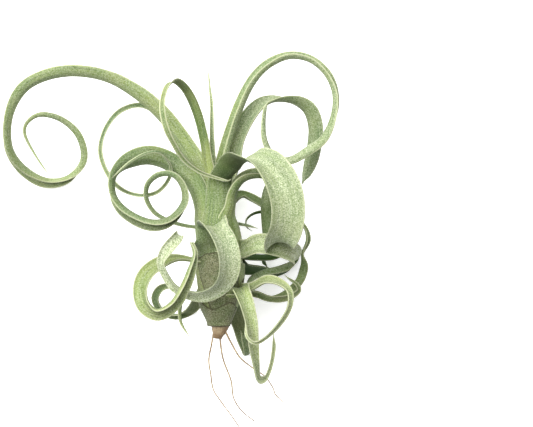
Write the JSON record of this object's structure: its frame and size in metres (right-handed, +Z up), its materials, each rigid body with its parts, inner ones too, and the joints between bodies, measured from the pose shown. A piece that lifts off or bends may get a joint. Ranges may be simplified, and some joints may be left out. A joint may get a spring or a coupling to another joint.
{
  "type": "air plant",
  "caption": "Bare-rooted air plant whose channelled strap leaves clasp a short stem, arch out and curl back in loops, lying on its back with wiry roots below.",
  "frame": {"origin": "on the surface that the plant lies on, under the centre of its bounding box", "axes": "+Y along the stem towards the crown, +X to the plant's right seen from the front, +Z up out of the plant's front, so it lies on its back"},
  "size_m": [0.1934, 0.2175, 0.1048],
  "materials": {
    "leaf": "matte grey-green, dusted with fine silvery scales, pale along the margins",
    "sheath": "matte blue-green with fine lengthwise veins, dry and brownish at the base",
    "root": "dry wiry tan bark"
  },
  "bodies": {
    "root": {"leaf_sheath_stem": "sheath", "root_tuft": "root", "front_drooping_leaf": "leaf", "front_right_coil_leaf": "leaf", "front_right_arched_leaf": "leaf", "forward_looped_leaf": "leaf", "left_coil_leaf": "leaf", "far_left_coil_leaf": "leaf", "tall_right_loop_leaf": "leaf", "right_arch_leaf": "leaf", "thin_left_loop_leaf": "leaf", "centre_spear_leaf": "leaf", "right_folded_leaf": "leaf", "lower_left_coil_leaf": "leaf", "lower_hanging_leaf": "leaf", "lower_right_loop_leaf": "leaf", "lower_right_tendril_leaf": "leaf", "rear_right_loop_leaf": "leaf", "rear_right_coil_leaf": "leaf", "rear_right_foot_leaf": "leaf", "rear_upper_foot_leaf": "leaf", "rear_lower_left_foot_leaf": "leaf", "rear_lower_right_foot_leaf": "leaf"}
  },
  "joints": []
}
